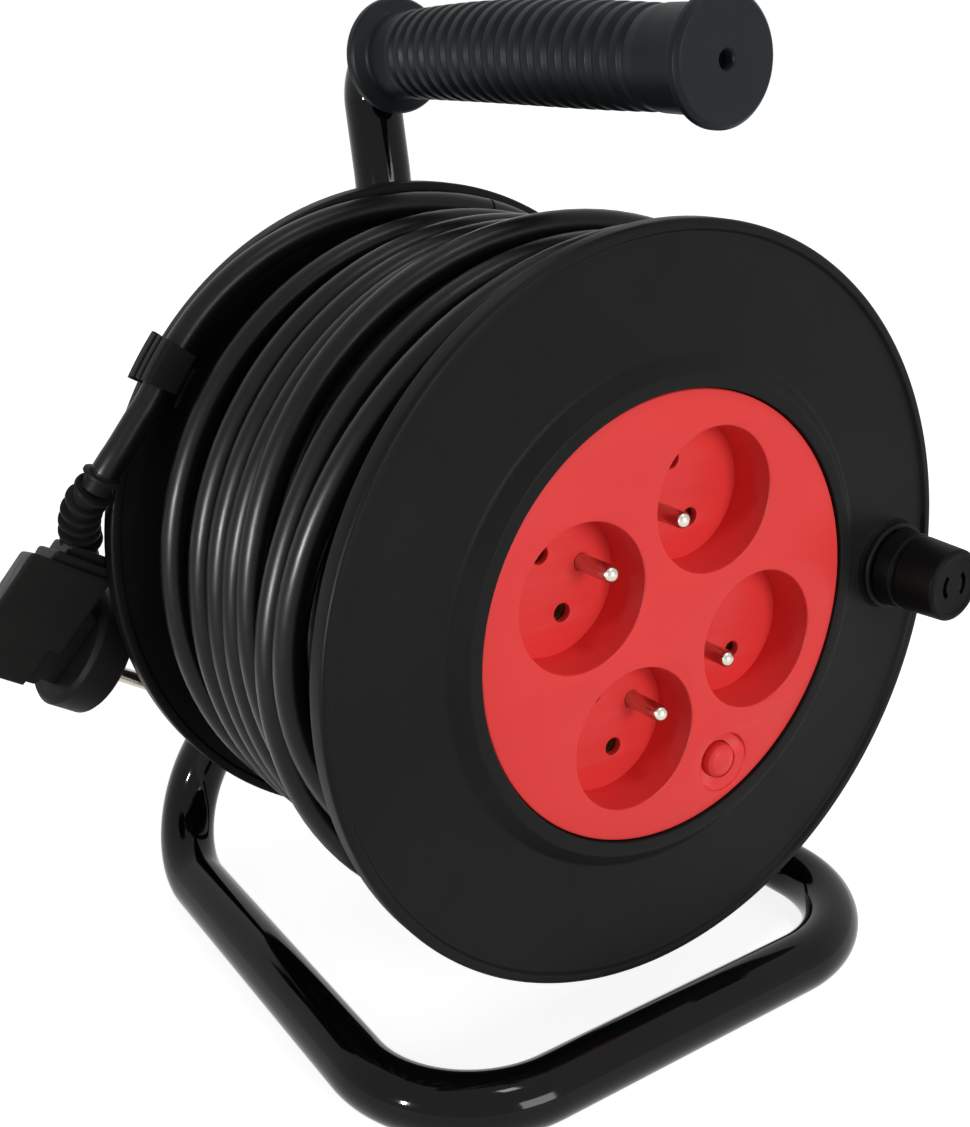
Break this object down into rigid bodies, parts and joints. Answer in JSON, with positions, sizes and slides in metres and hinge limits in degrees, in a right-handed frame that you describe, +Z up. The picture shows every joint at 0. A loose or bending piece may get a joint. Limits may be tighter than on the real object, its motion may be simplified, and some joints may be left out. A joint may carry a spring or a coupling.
{
  "type": "extension cord reel",
  "caption": "Cord reel: plastic drum with a socket panel and crank knob, turning on a bent tube stand with a ribbed carry grip; cable wound on, angled plug parked behind.",
  "frame": {"origin": "bottom centre of the whole reel without its free cord: on the floor, midway between its sides and between its foremost and rearmost points", "axes": "+Z up; the drum turns about an axis parallel to Y; the socket panel faces -Y; the crank knob is on the +X side"},
  "size_m": [0.2535, 0.2054, 0.2916],
  "materials": {
    "tube_paint": "gloss black enamel",
    "steel": "zinc plated",
    "nylon": "natural nylon",
    "grip_rubber": "matt moulded",
    "cable_sheath": "satin sheath",
    "plug_rubber": "satin moulded",
    "plated_brass": "nickel plated",
    "drum_plastic": "satin moulded",
    "panel_plastic": "satin moulded",
    "carrier_plastic": "plain moulded",
    "brass": "stamped",
    "cutout_plastic": "plain moulded",
    "live_sheath": "plain",
    "neutral_sheath": "plain",
    "earth_sheath": "plain",
    "knob_plastic": "satin"
  },
  "bodies": {
    "stand": {"stand_tube": "tube_paint", "handle_tube": "tube_paint", "hub_plate": "tube_paint", "axle": "steel", "thrust_washer": "nylon", "axle_washer": "steel", "axle_nut": "steel", "handle_grip": "grip_rubber", "strain_relief": "plug_rubber", "plug_body": "plug_rubber", "plug_pins": "plated_brass", "plug_earth_contacts": "plated_brass"},
    "drum": {"cable_tail": "cable_sheath", "drum_front_half": "drum_plastic", "drum_rear_half": "drum_plastic", "drum_screws": "steel", "hub_bushes": "nylon", "cord_clip": "drum_plastic", "socket_panel": "panel_plastic", "earth_pins": "plated_brass", "contact_carrier": "carrier_plastic", "live_bar": "brass", "neutral_bar": "brass", "earth_bar": "brass", "thermal_cutout": "cutout_plastic", "inlet_grommet": "plug_rubber", "inner_lead": "cable_sheath", "cord_clamp": "carrier_plastic", "clamp_screws": "steel", "live_wire": "live_sheath", "neutral_wire": "neutral_sheath", "earth_wire": "earth_sheath", "cable_core": "cable_sheath", "cable_winding": "cable_sheath", "knob_pin": "steel"},
    "knob": {"crank_knob": "knob_plastic"},
    "button": {"reset_button": "panel_plastic"}
  },
  "joints": [
    {"name": "drum_spin", "type": "hinge", "parent": "stand", "child": "drum", "pos_m": [0, -0.01272, 0.1311], "axis": [0, 1, 0], "continuous": true},
    {"name": "knob_spin", "type": "hinge", "parent": "drum", "child": "knob", "pos_m": [0.0887, -0.09072, 0.1278], "axis": [0, 1, 0], "continuous": true},
    {"name": "reset_press", "type": "slide", "parent": "drum", "child": "button", "axis": [0, 1, 0], "range_m": [0, 0.0015], "stiffness_N_per_m": 800, "springref_m": -0.001}
  ]
}
